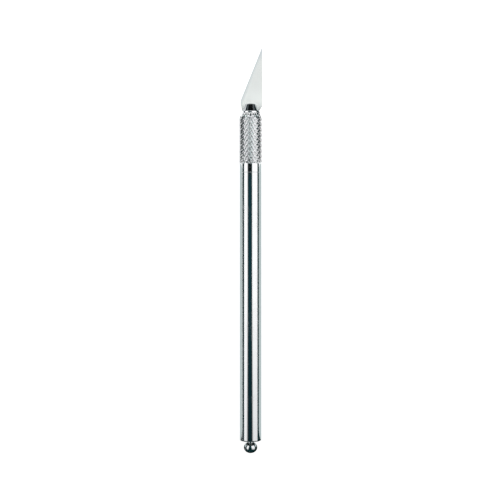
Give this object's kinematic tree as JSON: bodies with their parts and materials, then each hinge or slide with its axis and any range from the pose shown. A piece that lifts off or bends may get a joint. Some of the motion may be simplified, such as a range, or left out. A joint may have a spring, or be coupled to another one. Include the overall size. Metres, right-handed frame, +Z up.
{
  "type": "craft knife",
  "caption": "Slim all-metal craft knife: pointed blade in a split collet, diamond-knurled nose sleeve, polished barrel, and a ball knob at the rear that draws the collet shut.",
  "frame": {"origin": "on the surface that the knife lies on, below the barrel axis at the middle of the knife's length", "axes": "+Z up from the surface that the knife lies on, +Y along the barrel axis to the blade tip, +X from the cutting edge to the spine of the blade"},
  "size_m": [0.0067, 0.1198, 0.0065],
  "materials": {
    "blade_steel": "satin ground",
    "dark_steel": "polished",
    "chromed_steel": "polished",
    "rod_steel": "drawn",
    "sleeve_aluminium": "knurled",
    "barrel_aluminium": "polished",
    "bush_brass": "turned",
    "spring_steel": "blued"
  },
  "bodies": {
    "handle": {"barrel": "barrel_aluminium", "nose_sleeve": "sleeve_aluminium", "rear_bush": "bush_brass", "key_pin": "rod_steel"},
    "knob": {"release_knob": "chromed_steel", "retaining_ring": "spring_steel"},
    "carriage": {"collet": "dark_steel", "draw_rod": "rod_steel"},
    "blade": {"blade": "blade_steel"}
  },
  "joints": [
    {"name": "knob_turn", "type": "hinge", "parent": "handle", "child": "knob", "pos_m": [0, -0.05824, 0.00325], "axis": [0, -1, 0], "range_deg": [0, 720]},
    {"name": "collet_travel", "type": "slide", "parent": "handle", "child": "carriage", "axis": [0, 1, 0], "range_m": [0, 0.0008]},
    {"name": "blade_removal", "type": "slide", "parent": "carriage", "child": "blade", "axis": [0, 1, 0], "range_m": [0, 0.0235]}
  ],
  "couplings": [
    {"joint": "knob_turn", "follows": "collet_travel", "rad_per_m": 15708}
  ]
}
